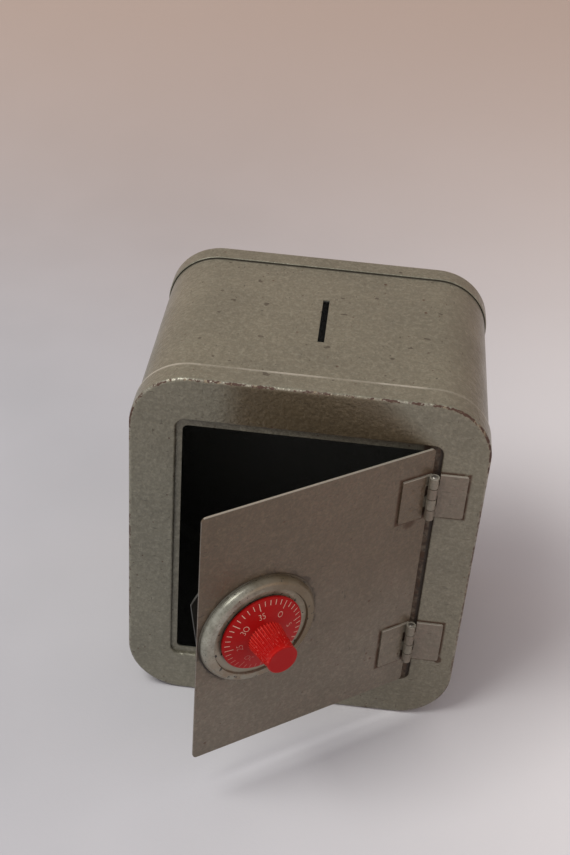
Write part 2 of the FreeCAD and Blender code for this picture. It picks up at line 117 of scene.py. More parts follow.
class Shader:
    """A small wrapper for building one node material."""

    def __init__(self, name):
        self.material = bpy.data.materials.new(name)
        self.material.use_nodes = True
        self.tree = self.material.node_tree
        self.tree.nodes.clear()
        self.output = self.tree.nodes.new("ShaderNodeOutputMaterial")
        self.surface = self.tree.nodes.new("ShaderNodeBsdfPrincipled")
        self.link(self.surface.outputs[0], self.output.inputs["Surface"])
        coords = self.tree.nodes.new("ShaderNodeTexCoord")
        self.place = coords.outputs["Object"]

    def link(self, source, target):
        self.tree.links.new(source, target)

    def feed(self, target, value):
        """Link another node's output, or set a constant."""
        if isinstance(value, bpy.types.NodeSocket):
            self.link(value, target)
        else:
            target.default_value = value

    def math(self, operation, first, second=0.0, third=0.0, clamp=False):
        node = self.tree.nodes.new("ShaderNodeMath")
        node.operation = operation
        node.use_clamp = clamp
        for socket, value in zip(node.inputs, (first, second, third)):
            self.feed(socket, value)
        return node.outputs[0]

    def vector(self, operation, first, second=(0.0, 0.0, 0.0)):
        node = self.tree.nodes.new("ShaderNodeVectorMath")
        node.operation = operation
        self.feed(node.inputs[0], first)
        self.feed(node.inputs[1], second)
        return node.outputs["Value"] if operation in ("LENGTH", "DOT_PRODUCT") else node.outputs["Vector"]

    def noise(self, size, detail=3.0, roughness=0.5, place=None, shift=0.0):
        """Noise whose features are about `size` metres across."""
        node = self.tree.nodes.new("ShaderNodeTexNoise")
        node.inputs["Scale"].default_value = 1.0 / size
        node.inputs["Detail"].default_value = detail
        node.inputs["Roughness"].default_value = roughness
        source = place or self.place
        if shift:
            source = self.vector("ADD", source, (shift, shift * 0.7, -shift))
        self.link(source, node.inputs["Vector"])
        return node.outputs["Fac"]

    def cells(self, size, feature="F1", shift=0.0):
        """Distance to the nearest of many scattered points, about `size` metres apart."""
        node = self.tree.nodes.new("ShaderNodeTexVoronoi")
        node.feature = feature
        node.inputs["Scale"].default_value = 1.0 / size
        source = self.vector("ADD", self.place, (shift, shift * 0.7, -shift)) if shift else self.place
        self.link(source, node.inputs["Vector"])
        return node.outputs["Distance"]

    def ramp(self, value, low, high):
        """0 below `low` and 1 above `high`, smooth between them; swapped limits turn it round."""
        node = self.tree.nodes.new("ShaderNodeMapRange")
        node.interpolation_type = "SMOOTHSTEP"
        flipped = low > high
        self.feed(node.inputs["Value"], value)
        node.inputs["From Min"].default_value = high if flipped else low
        node.inputs["From Max"].default_value = low if flipped else high
        node.inputs["To Min"].default_value = 1.0 if flipped else 0.0
        node.inputs["To Max"].default_value = 0.0 if flipped else 1.0
        return node.outputs["Result"]

    def mix(self, factor, first, second):
        """Mix two colours."""
        node = self.tree.nodes.new("ShaderNodeMix")
        node.data_type = "RGBA"
        self.feed(node.inputs["Factor"], factor)
        self.feed(node.inputs[6], first)
        self.feed(node.inputs[7], second)
        return node.outputs[2]

    def tint(self, factor, base, shade):
        """Multiply a colour by `shade` where `factor` is 1."""
        node = self.tree.nodes.new("ShaderNodeMix")
        node.data_type = "RGBA"
        node.blend_type = "MULTIPLY"
        self.feed(node.inputs["Factor"], factor)
        self.feed(node.inputs[6], base)
        self.feed(node.inputs[7], shade)
        return node.outputs[2]

    def blend(self, factor, first, second):
        """Mix two numbers."""
        node = self.tree.nodes.new("ShaderNodeMix")
        node.data_type = "FLOAT"
        self.feed(node.inputs["Factor"], factor)
        self.feed(node.inputs[2], first)
        self.feed(node.inputs[3], second)
        return node.outputs[0]

    def bump(self, height, distance, strength=1.0):
        """A normal tilted as if the surface rose by `height` times `distance`."""
        node = self.tree.nodes.new("ShaderNodeBump")
        node.inputs["Distance"].default_value = distance
        node.inputs["Strength"].default_value = strength
        self.feed(node.inputs["Height"], height)
        return node.outputs["Normal"]

    def scaled_axis(self, height):
        """The dial's axis times a shader value."""
        node = self.tree.nodes.new("ShaderNodeVectorMath")
        node.operation = "SCALE"
        node.inputs[0].default_value = tuple(DIAL_AXIS)
        self.link(height, node.inputs["Scale"])
        return node.outputs["Vector"]

    def set(self, **values):
        """Feed the surface's inputs, named with _ for each space."""
        for name, value in values.items():
            self.feed(self.surface.inputs[name.replace("_", " ")], value)


def colour(red, green, blue):
    return (red, green, blue, 1.0)


# ---- colours -------------------------------------------------------------------------------
PAINT = colour(0.222, 0.208, 0.155)
PAINT_LIGHT = colour(0.31, 0.292, 0.228)
PAINT_DARK = colour(0.140, 0.129, 0.097)
# a warmer, darker copy of the paint: painted warm shade and reflected light on the door and hinge leaves
PAINT_IN_WARM_SHADE = colour(0.205, 0.156, 0.124)
# the colour that painted shade multiplies into the paint
SHADE_TINT = colour(0.56, 0.455, 0.355)
# pale paint laid along edges as a painted highlight, where they catch the light
PAINT_HIGHLIGHT = colour(0.50, 0.47, 0.40)
BARE_STEEL = colour(0.24, 0.19, 0.13)
RUST = colour(0.075, 0.032, 0.014)
RUST_RED = colour(0.070, 0.038, 0.022)
RUST_CHIP = colour(0.055, 0.022, 0.012)
# dark brown for dirt, stains and scratches, also used as painted shade in corners and steps
GRIME_AND_SHADE = colour(0.022, 0.013, 0.007)
# dark steel for the inner sides, made darker than it is as painted shade inside the box
INSIDE_STEEL_AND_SHADE = colour(0.105, 0.105, 0.095)
RED = colour(0.34, 0.003, 0.003)
# painted highlight on the knob's ridges, painted glints, and painted shade in its grooves
RED_RIDGE_HIGHLIGHT = colour(0.57, 0.030, 0.022)
RED_GLINT = colour(0.95, 0.20, 0.17)
RED_GROOVE_SHADE = colour(0.36, 0.006, 0.005)
CREAM = colour(0.64, 0.40, 0.31)
CREAM_WORN = colour(0.38, 0.055, 0.045)
DUST = colour(0.42, 0.22, 0.18)
BEZEL_DULL = colour(0.235, 0.228, 0.185)
BEZEL_SILVER = colour(0.37, 0.362, 0.305)
BEZEL_LOWER_BROWN = colour(0.17, 0.115, 0.065)
# painted shade on the bezel's upper hinge side
BEZEL_SHADE_BROWN = colour(0.12, 0.082, 0.040)
DISH_DARK = colour(0.20, 0.17, 0.12)
DISH_PALE = colour(0.30, 0.265, 0.20)
DISH_FOOT = colour(0.25, 0.225, 0.175)
BLACK_FLECK = colour(0.02, 0.018, 0.015)
PIN_STEEL = colour(0.30, 0.28, 0.25)
ZINC = colour(0.42, 0.42, 0.40)
BRASS = colour(0.45, 0.33, 0.14)
SPRING_STEEL = colour(0.16, 0.16, 0.17)
DISC_STEEL = colour(0.09, 0.087, 0.078)
FLOOR_DARK = colour(0.45, 0.445, 0.475)
FLOOR_PALE = colour(0.48, 0.473, 0.505)
# paler floor on the right: painted light that evens out the lamp's fall-off
FLOOR_RIGHT_PAINTED_LIGHT = colour(0.88, 0.85, 0.87)
FLOOR_FAR = colour(0.47, 0.35, 0.29)
SKY = colour(0.97, 0.96, 1.0)


# ---- materials -----------------------------------------------------------------------------
WOBBLE_SIZE = 2.2 * MM                 # slow waves in the hammered paint
DIMPLE_SIZE = 1.5 * MM
GRAIN_SIZE = 1.0 * MM
BLOTCH_SIZE = 18 * MM
SPOT_SPACING = 9 * MM                  # large rust freckles
PIN_SPACING = 3.6 * MM                 # pinhead rust freckles
DIMPLE_DEPTH = 0.20 * MM
PAINT_METAL = 0.35
PAINT_COAT = 0.2


def split_place(shader):
    """The point being shaded, as separate x, y and z."""
    node = shader.tree.nodes.new("ShaderNodeSeparateXYZ")
    shader.link(shader.place, node.inputs[0])
    return node.outputs


def scratches(shader, direction, size, limit, shift):
    """Short thin marks, stretched noise cut off near its top."""
    stretched = shader.vector("MULTIPLY", shader.place, direction)
    marks = shader.noise(size, detail=1.5, place=stretched, shift=shift)
    return shader.ramp(marks, limit, limit + 0.015)


def hammered_paint(name, wear=None, edge_highlight=None, inside=None, grime_and_shade=None, painted_brown_shade=None, rusty=None,
                   freckles=1.0, warm=0.0, mottle=1.0, relief=1.0):
    """Grey-olive hammered paint with fine dimples, faint blotches, rust freckles and scratches.

    The masks from `wear` to `rusty` are functions of the shader that give 0 to 1: chipped edges, painted
    highlights along edges, the inner side (dark steel that is also painted shade), dirt together with painted
    shade in corners and steps, painted shade that browns and darkens the paint, and rusty stains. `warm`
    turns the whole coat towards a warmer, darker copy that stands in for warm reflected light and shade,
    `mottle` sets how strong its fine light and dark spots are and `relief` how deep its dimples."""
    shader = Shader(name)
    wobble = shader.noise(WOBBLE_SIZE, detail=2.0, shift=0.15)
    dimples = shader.cells(DIMPLE_SIZE, feature="SMOOTH_F1")
    fine = shader.noise(GRAIN_SIZE, detail=3.0, roughness=0.6)
    blotch = shader.noise(BLOTCH_SIZE, detail=5.0, roughness=0.62)
    # `warm` shifts the paint towards its warmer, darker copy, painted warm shade and reflected light
    base = shader.mix(warm, PAINT, PAINT_IN_WARM_SHADE)
    tone = shader.mix(shader.ramp(blotch, 0.28, 0.72), shader.mix(0.5, base, PAINT_DARK), base)
    light_spots = shader.math("MULTIPLY", shader.ramp(wobble, 0.40, 0.70), 0.45 * mottle)
    tone = shader.mix(light_spots, tone, shader.mix(0.7 * warm, PAINT_LIGHT, base))
    dark_spots = shader.math("MULTIPLY", shader.ramp(fine, 0.60, 0.42), 0.42 * mottle)
    tone = shader.mix(dark_spots, tone, PAINT_DARK)
    # painted shade, browning and darkening the paint where light falls less
    if painted_brown_shade is not None:
        tone = shader.tint(painted_brown_shade(shader), tone, SHADE_TINT)

    spots = shader.cells(SPOT_SPACING, shift=0.31)
    spot_size = shader.noise(13 * MM, detail=1.0, shift=0.53)
    specks = shader.math("MULTIPLY", shader.ramp(spots, 0.085, 0.05), shader.ramp(spot_size, 0.47, 0.56))
    small = shader.cells(PIN_SPACING, shift=0.77)
    small_where = shader.noise(11 * MM, detail=1.0, shift=0.91)
    pins = shader.math("MULTIPLY", shader.ramp(small, 0.11, 0.06), shader.ramp(small_where, 0.49, 0.56))
    rust = shader.math("MULTIPLY", shader.math("MAXIMUM", specks, pins), 0.85 * freckles)

    along = scratches(shader, (1.0, 1.0, 7.0), 4 * MM, 0.730, 0.2)
    across = scratches(shader, (8.0, 1.5, 1.0), 5 * MM, 0.745, 0.6)
    scratch = shader.math("MAXIMUM", along, across)
    tone = shader.mix(shader.math("MULTIPLY", scratch, 0.55), tone, GRIME_AND_SHADE)
    tone = shader.mix(rust, tone, RUST)
    rough = shader.blend(shader.ramp(blotch, 0.3, 0.7), 0.40, 0.30)
    metal = PAINT_METAL
    coat = PAINT_COAT
    if rusty is not None:
        stained = rusty(shader)
        tone = shader.mix(stained, tone, RUST_RED)
        rough = shader.blend(stained, rough, 0.75)
        coat = shader.blend(stained, coat, 0.0)
    # dirt, and painted shade where parts meet or the surface steps down
    if grime_and_shade is not None:
        dirt_and_shade = grime_and_shade(shader)
        tone = shader.mix(dirt_and_shade, tone, GRIME_AND_SHADE)
        rough = shader.blend(dirt_and_shade, rough, 0.7)
        metal = shader.math("MULTIPLY_ADD", dirt_and_shade, -PAINT_METAL, PAINT_METAL)
        coat = shader.blend(dirt_and_shade, coat, 0.0)
    # painted highlights: pale lines along edges that catch the light
    if edge_highlight is not None:
        tone = shader.mix(edge_highlight(shader), tone, PAINT_HIGHLIGHT)
    if wear is not None:
        worn = wear(shader)
        broken = shader.noise(1.8 * MM, detail=3.0, shift=0.4)
        rusted = shader.ramp(broken, 0.34, 0.44)
        tone = shader.mix(worn, tone, shader.mix(rusted, BARE_STEEL, RUST_CHIP))
        metal = shader.blend(worn, metal, shader.math("MULTIPLY", shader.ramp(broken, 0.44, 0.34), 0.4))
        rough = shader.blend(worn, rough, 0.7)
        coat = shader.blend(worn, coat, 0.0)
    # inner sides: dark steel, darkened further as painted shade inside the box
    if inside is not None:
        inner = inside(shader)
        tone = shader.mix(inner, tone, INSIDE_STEEL_AND_SHADE)
        rough = shader.blend(inner, rough, 0.6)
    height = shader.math("MULTIPLY_ADD", shader.ramp(dimples, 0.0, 0.75), -0.5,
                         shader.math("MULTIPLY", fine, 0.9))
    height = shader.math("ADD", height, shader.math("MULTIPLY", wobble, 0.9))
    height = shader.math("SUBTRACT", height, shader.math("MULTIPLY", rust, 0.6))
    shader.set(Base_Color=tone, Roughness=rough, Metallic=metal,
               Normal=shader.bump(height, DIMPLE_DEPTH * relief))
    shader.set(Coat_Weight=coat, Coat_Roughness=0.25)
    return shader.material


def outline_distance(shader):
    """Distance outside the box's rounded outline seen from the front, negative inside it, and the depth."""
    place = split_place(shader)
    across = shader.math("ABSOLUTE", place["X"])
    upward = shader.math("ABSOLUTE", shader.math("SUBTRACT", place["Z"], HEIGHT / 2))
    across = shader.math("SUBTRACT", across, HALF_WIDTH - CORNER)
    upward = shader.math("SUBTRACT", upward, HEIGHT / 2 - CORNER)
    outer_x = shader.math("MAXIMUM", across, 0.0)
    outer_z = shader.math("MAXIMUM", upward, 0.0)
    squares = shader.math("ADD", shader.math("POWER", outer_x, 2.0), shader.math("POWER", outer_z, 2.0))
    corner = shader.math("SQRT", squares)
    flat = shader.math("MINIMUM", shader.math("MAXIMUM", across, upward), 0.0)
    return shader.math("SUBTRACT", shader.math("ADD", corner, flat), CORNER), place["Y"]


def wrapper_inside(shader):
    """The wrapper's inner side."""
    distance, _ = outline_distance(shader)
    return shader.ramp(distance, -1.05 * MM, -1.15 * MM)


def wrapper_grime(shader):
    """Painted shade, with some dirt, in the corner where the rear cap's flange begins."""
    _, depth = outline_distance(shader)
    near = shader.ramp(depth, REAR_FLANGE_START - 1.1 * MM, REAR_FLANGE_START - 0.4 * MM)
    return shader.math("MULTIPLY", near, 0.85)


def front_inside(shader):
    """The front panel's back, behind the ledge and inside the flange."""
    distance, depth = outline_distance(shader)
    behind = shader.ramp(depth, FRONT_Y + 1.75 * MM, FRONT_Y + 1.85 * MM)
    return shader.math("MULTIPLY", behind, shader.ramp(distance, -0.3 * MM, -0.4 * MM))


def rear_inside(shader):
    """The rear cap's inner side."""
    distance, depth = outline_distance(shader)
    before = shader.ramp(depth, REAR_Y - 0.3 * MM, REAR_Y - 0.4 * MM)
    return shader.math("MULTIPLY", before, shader.ramp(distance, -0.55 * MM, -0.65 * MM))


def front_bend(shader):
    """How far a point lies from the middle of the bend between face and flange, about, in metres."""
    distance, depth = outline_distance(shader)
    sum_of_both = shader.math("SUBTRACT", shader.math("SUBTRACT", depth, FRONT_Y), distance)
    return shader.math("SUBTRACT", sum_of_both, FACE_BEND * 0.586)


def front_edge_wear(shader):
    """Rusty chips along the bend between the face and the flange, most of them on the roof side."""
    ragged = shader.math("SUBTRACT", shader.noise(2.0 * MM, detail=4.0), 0.5)
    bend = shader.math("MULTIPLY_ADD", ragged, 0.9 * MM, front_bend(shader))
    patch = shader.noise(10 * MM, detail=5.0, roughness=0.8, shift=0.12)
    right = shader.ramp(split_place(shader)["X"], HALF_WIDTH * 0.5, HALF_WIDTH * 0.9)
    patchy = shader.ramp(shader.math("MULTIPLY_ADD", right, 0.05, patch), 0.46, 0.53)
    high = shader.ramp(split_place(shader)["Z"], HEIGHT * 0.05, HEIGHT * 0.95)
    amount = shader.math("MULTIPLY", shader.ramp(bend, 0.17 * MM, 0.06 * MM), patchy)
    return shader.math("MULTIPLY", amount, shader.blend(high, 0.6, 1.0))


def front_edge_rub(shader):
    """A painted highlight: a pale line along the flange's free edge, and a thinner one along the bend of the
    face.
    """
    _, depth = outline_distance(shader)
    patch = shader.noise(22 * MM, detail=3.0, shift=0.44)
    along = shader.blend(shader.ramp(patch, 0.38, 0.58), 0.25, 0.80)
    before = shader.math("SUBTRACT", FRONT_FLANGE_END, depth)
    line = shader.ramp(before, 1.7 * MM, 0.9 * MM)
    high = shader.ramp(split_place(shader)["Z"], HEIGHT * 0.55, HEIGHT * 0.95)
    edge = shader.math("MULTIPLY", shader.ramp(front_bend(shader), 0.13 * MM, 0.03 * MM), 0.3)
    both = shader.math("MULTIPLY", shader.math("MAXIMUM", line, edge), along)
    return shader.math("MULTIPLY", both, shader.blend(high, 0.35, 1.0))


def front_browned(shader):
    """Painted shade and painted warm reflection: the face is browner towards the hinge side and high up, most
    of all in a patch over the recess.
    """
    place = split_place(shader)
    below = shader.math("SUBTRACT", HEIGHT, place["Z"])
    left = shader.ramp(place["X"], HALF_WIDTH * -0.58, HALF_WIDTH * -0.34)
    slanted = shader.math("MULTIPLY_ADD", below, -1.1, place["X"])
    right = shader.ramp(slanted, HALF_WIDTH * 0.55, HALF_WIDTH * 0.25)
    face = shader.ramp(place["Y"], FRONT_Y + 0.9 * MM, FRONT_Y + 0.3 * MM)
    top = shader.ramp(below, HEIGHT * 0.17, HEIGHT * 0.11)
    shade = shader.math("MULTIPLY", shader.math("MULTIPLY", left, right), top)
    # painted warm reflection towards the right, and painted shade high up
    warm_reflection = shader.math("MULTIPLY", shader.ramp(place["X"], 0.0, HALF_WIDTH * 0.8), 0.28)
    higher = shader.math("MULTIPLY", shader.ramp(place["Z"], HEIGHT * 0.4, HEIGHT * 0.9), 0.16)
    warm_reflection = shader.math("MAXIMUM", warm_reflection, higher)
    return shader.math("MULTIPLY", face, shader.math("MAXIMUM", shade, warm_reflection))


def front_rusty(shader):
    """Rust in the recess beside the hinges and around their leaves, most at the lower leaf's corner."""
    distance, depth = outline_distance(shader)
    place = split_place(shader)
    hinge_side = shader.ramp(place["X"], HINGE_POINT.x - 6 * MM, HINGE_POINT.x - 4.5 * MM)
    sunken = shader.ramp(depth, FRONT_Y + 0.10 * MM, FRONT_Y + 0.35 * MM)
    inward = shader.ramp(distance, -RIM_WIDTH, -RIM_WIDTH - 2 * MM)
    strip = shader.math("MULTIPLY", shader.math("MULTIPLY", hinge_side, sunken), inward)
    cloud = shader.noise(3 * MM, detail=4.0, shift=0.27)
    rust = shader.math("MULTIPLY", strip, shader.blend(shader.ramp(cloud, 0.35, 0.6), 0.70, 1.0))
    leaf_low, leaf_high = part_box("lower_hinge_frame_leaf")
    corner = shader.vector("SUBTRACT", shader.place, (leaf_high.x, FRONT_Y, leaf_low.z))
    away = shader.math("MULTIPLY_ADD", cloud, 1.5 * MM, shader.vector("LENGTH", corner))
    spot = shader.ramp(away, 2.9 * MM, 2.1 * MM)
    rust = shader.math("MAXIMUM", rust, shader.math("MULTIPLY", spot, 0.9))
    for node in ("upper_hinge_frame_leaf", "lower_hinge_frame_leaf"):
        low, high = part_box(node)
        around = beside_box(shader, low, high, shader.ramp(cloud, 0.25, 0.50), 1.5 * MM)
        rust = shader.math("MAXIMUM", rust, around)
    return rust


def beside_box(shader, low, high, across, reach):
    """1 close around a rectangle seen along Y, fading out at `reach` from its edges."""
    place = split_place(shader)
    middle = (low + high) / 2
    half = (high - low) / 2
    aside = shader.math("ABSOLUTE", shader.math("SUBTRACT", place["X"], middle.x))
    upward = shader.math("ABSOLUTE", shader.math("SUBTRACT", place["Z"], middle.z))
    distance = shader.math("MAXIMUM", shader.math("SUBTRACT", aside, half.x),
                           shader.math("SUBTRACT", upward, half.z))
    return shader.math("MULTIPLY", shader.ramp(distance, reach, reach * 0.25), across)


def front_grime(shader):
    """Dirt and painted shade where the face steps down to the recess's ledge, most of it at the top and by
    the hinges.
    """
    distance, depth = outline_distance(shader)
    inward = shader.ramp(distance, -RIM_WIDTH, -RIM_WIDTH - 2 * MM)
    wall = shader.ramp(depth, FRONT_Y + 0.15 * MM, FRONT_Y + 0.5 * MM)
    patch = shader.noise(5 * MM, detail=4.0, shift=0.35)
    patchy = shader.ramp(patch, 0.28, 0.52)
    step = shader.math("MULTIPLY", shader.math("MULTIPLY", inward, wall), patchy)
    level = shader.ramp(depth, FRONT_Y + LEDGE_DEPTH - 0.03 * MM, FRONT_Y + LEDGE_DEPTH + 0.03 * MM)
    step = shader.math("MULTIPLY", step, shader.blend(level, 1.0, 0.35))
    place = split_place(shader)
    high = shader.ramp(place["Z"], HEIGHT * 0.70, HEIGHT * 0.88)
    dirt_and_shade = shader.math("MULTIPLY", step, shader.blend(high, 0.38, 1.0))
    # painted shade along the foot of the recess wall on the hinge side, with dirt speckled on the ledge
    # beside it
    beyond = shader.math("SUBTRACT", place["X"], HINGE_POINT.x + RECESS_BEYOND_AXIS)
    hinge_wall = shader.math("ABSOLUTE", beyond)
    foot = shader.math("MULTIPLY", shader.ramp(hinge_wall, 1.3 * MM, 0.7 * MM), wall)
    speckle = shader.ramp(shader.noise(1.6 * MM, detail=3.0, shift=0.66), 0.50, 0.60)
    ledge = shader.math("MULTIPLY", shader.ramp(hinge_wall, 4.0 * MM, 3.4 * MM), wall)
    ledge = shader.math("MULTIPLY", ledge, speckle)
    foot = shader.math("MAXIMUM", foot, shader.math("MULTIPLY", ledge, 0.8))
    dirt_and_shade = shader.math("MAXIMUM", dirt_and_shade, shader.math("MULTIPLY", foot, shader.math("MULTIPLY", inward, 0.95)))
    return dirt_and_shade


def door_offsets(shader):
    """Distance from the hinge axis along the door, and height, both as shader values."""
    offset = shader.vector("SUBTRACT", shader.place, tuple(HINGE_POINT))
    return shader.vector("DOT_PRODUCT", offset, tuple(-DOOR_ACROSS)), split_place(shader)["Z"]


def dial_offsets(shader):
    """The shaded point's offset from the dial's middle, its height off the door and its radius."""
    offset = shader.vector("SUBTRACT", shader.place, tuple(DIAL_ORIGIN))
    height = shader.vector("DOT_PRODUCT", offset, tuple(DIAL_AXIS))
    radius = shader.vector("LENGTH", shader.vector("SUBTRACT", offset, shader.scaled_axis(height)))
    return offset, height, radius


def door_outside(shader):
    """1 on the door's outer face and 0 on its back."""
    _, height, _ = dial_offsets(shader)
    return shader.ramp(height, -0.4 * MM, -0.2 * MM)


def door_rusty(shader):
    """Rust round the hinge leaves, and a stain under the upper hinge."""
    along, height = door_offsets(shader)
    patch = shader.noise(4 * MM, detail=4.0, shift=0.35)
    patchy = shader.ramp(patch, 0.25, 0.52)
    rust = None
    for node in ("upper_hinge_door_leaf", "lower_hinge_door_leaf"):
        low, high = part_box(node)
        reach = max((vertex.co - HINGE_POINT).dot(-DOOR_ACROSS) for vertex in NODES[node].data.vertices)
        aside = shader.math("SUBTRACT", along, reach)
        middle = (low.z + high.z) / 2
        upward = shader.math("ABSOLUTE", shader.math("SUBTRACT", height, middle))
        upward = shader.math("SUBTRACT", upward, (high.z - low.z) / 2)
        around = shader.ramp(shader.math("MAXIMUM", aside, upward), 1.7 * MM, 0.5 * MM)
        around = shader.math("MULTIPLY", around, patchy)
        rust = around if rust is None else shader.math("MAXIMUM", rust, around)
    low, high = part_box("upper_hinge_door_leaf")
    stain_side = shader.math("ABSOLUTE", shader.math("SUBTRACT", along, 7.5 * MM))
    stain_down = shader.math("ABSOLUTE", shader.math("SUBTRACT", height, low.z - 2.0 * MM))
    squares = shader.math("ADD", shader.math("POWER", stain_side, 2.0), shader.math("POWER", stain_down, 2.0))
    ragged = shader.math("MULTIPLY", shader.math("SUBTRACT", patch, 0.5), 7 * MM)
    stain = shader.ramp(shader.math("ADD", shader.math("SQRT", squares), ragged), 4.0 * MM, 0.8 * MM)
    rust = shader.math("MAXIMUM", rust, shader.math("MULTIPLY", stain, 0.75))
    return shader.math("MULTIPLY", rust, door_outside(shader))


def door_grime(shader):
    """Dirt on the door close around the bezel."""
    patch = shader.noise(4 * MM, detail=4.0, shift=0.35)
    ragged = shader.math("MULTIPLY", shader.math("SUBTRACT", patch, 0.5), 7 * MM)
    offset, _, _ = dial_offsets(shader)
    ring = shader.vector("LENGTH", offset)
    _, bezel_radius = tip_and_radius("dial_bezel")
    halo = shader.ramp(shader.math("ADD", ring, ragged), bezel_radius + 1.6 * MM, bezel_radius + 0.2 * MM)
    return shader.math("MULTIPLY", shader.math("MULTIPLY", halo, 0.6), door_outside(shader))


def door_browned(shader):
    """Painted shade: the upper part of the door is darker and browner than the lower part."""
    _, height = door_offsets(shader)
    cloud = shader.noise(30 * MM, detail=3.0, shift=0.21)
    level = shader.math("MULTIPLY_ADD", cloud, 30 * MM, height)
    return shader.blend(shader.ramp(level, HEIGHT * 0.30, HEIGHT * 0.75), 0.35, 1.0)


def door_rub(shader):
    """A painted highlight: a thin pale line along the door's top edge."""
    _, door_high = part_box("door_panel")
    _, height = door_offsets(shader)
    return shader.math("MULTIPLY", shader.ramp(height, door_high.z - 0.35 * MM, door_high.z - 0.15 * MM), 0.6)


def leaf_rub(shader):
    """A painted highlight: a thin pale line along the top edge of each hinge leaf."""
    height = split_place(shader)["Z"]
    line = None
    for node in ("upper_hinge_frame_leaf", "lower_hinge_frame_leaf"):
        _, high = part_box(node)
        away = shader.math("ABSOLUTE", shader.math("SUBTRACT", height, high.z))
        near = shader.ramp(away, 0.45 * MM, 0.2 * MM)
        line = near if line is None else shader.math("MAXIMUM", line, near)
    return shader.math("MULTIPLY", line, 0.55)


def leaf_browned(shader):
    """Painted shade on the door leaves, as on the door, but not on their knuckles."""
    along, _ = door_offsets(shader)
    return shader.math("MULTIPLY", door_browned(shader), shader.ramp(along, 1.6 * MM, 3.0 * MM))


def frame_leaf_browned(shader):
    """Painted shade on the frame leaves, much weaker than on the door, the upper one more than the lower."""
    return shader.math("MULTIPLY", door_browned(shader), 0.3)


def steel(name, base, rough, size=1.5 * MM, stains=0.4):
    """Bare metal with dark stains; `size` is about a third of a stain's width."""
    shader = Shader(name)
    cloud = shader.noise(size * 3, detail=4.0, roughness=0.6)
    stain = shader.math("MULTIPLY", shader.ramp(cloud, 0.48, 0.66), stains)
    grain = shader.noise(size * 0.3, detail=2.0)
    shader.set(Base_Color=shader.mix(stain, base, GRIME_AND_SHADE), Metallic=0.85,
               Roughness=shader.blend(grain, rough - 0.08, rough + 0.14),
               Normal=shader.bump(grain, 0.03 * MM, 0.5))
    return shader.material


def red_plastic():
    """Glossy red plastic; the knob's ridges carry a painted highlight and painted glints, and its grooves
    painted shade.
    """
    shader = Shader("red_dial_plastic")
    _, height, ring = dial_offsets(shader)
    cloud = shader.noise(5 * MM, detail=3.0)
    tip, _ = tip_and_radius("combination_dial")
    base_radius, base_height, tip_radius = knob_cone()
    taper = (base_radius - tip_radius) / (tip - base_height)
    cone_radius = shader.math("MULTIPLY_ADD", height, -taper, base_radius + taper * base_height)
    sunken = shader.math("SUBTRACT", cone_radius, ring)
    side = shader.math("MULTIPLY", shader.ramp(height, base_height - 0.1 * MM, base_height + 0.2 * MM),
                       shader.ramp(height, tip - 0.1 * MM, tip - 0.4 * MM))
    # painted highlight on the ridges and painted shade in the grooves
    groove = shader.ramp(sunken, 0.02 * MM, 0.25 * MM)
    knob = shader.mix(groove, RED_RIDGE_HIGHLIGHT, RED_GROOVE_SHADE)
    # painted glints of light on the ridges
    glint = shader.ramp(shader.noise(0.7 * MM, detail=2.0, shift=0.37), 0.60, 0.70)
    knob = shader.mix(shader.math("MULTIPLY", glint, 0.35), knob, RED_GLINT)
    tone = shader.mix(side, RED, knob)
    dusty = shader.math("MULTIPLY", shader.ramp(cloud, 0.45, 0.7), 0.03)
    tone = shader.mix(dusty, tone, DUST)
    fine = shader.noise(0.5 * MM, detail=2.0)
    rough = shader.blend(side, shader.blend(cloud, 0.30, 0.45), 0.22)
    shader.set(Base_Color=tone, Roughness=rough, Normal=shader.bump(fine, 0.02 * MM, 0.35))
    shader.set(IOR=1.49, Specular_IOR_Level=0.12)
    return shader.material


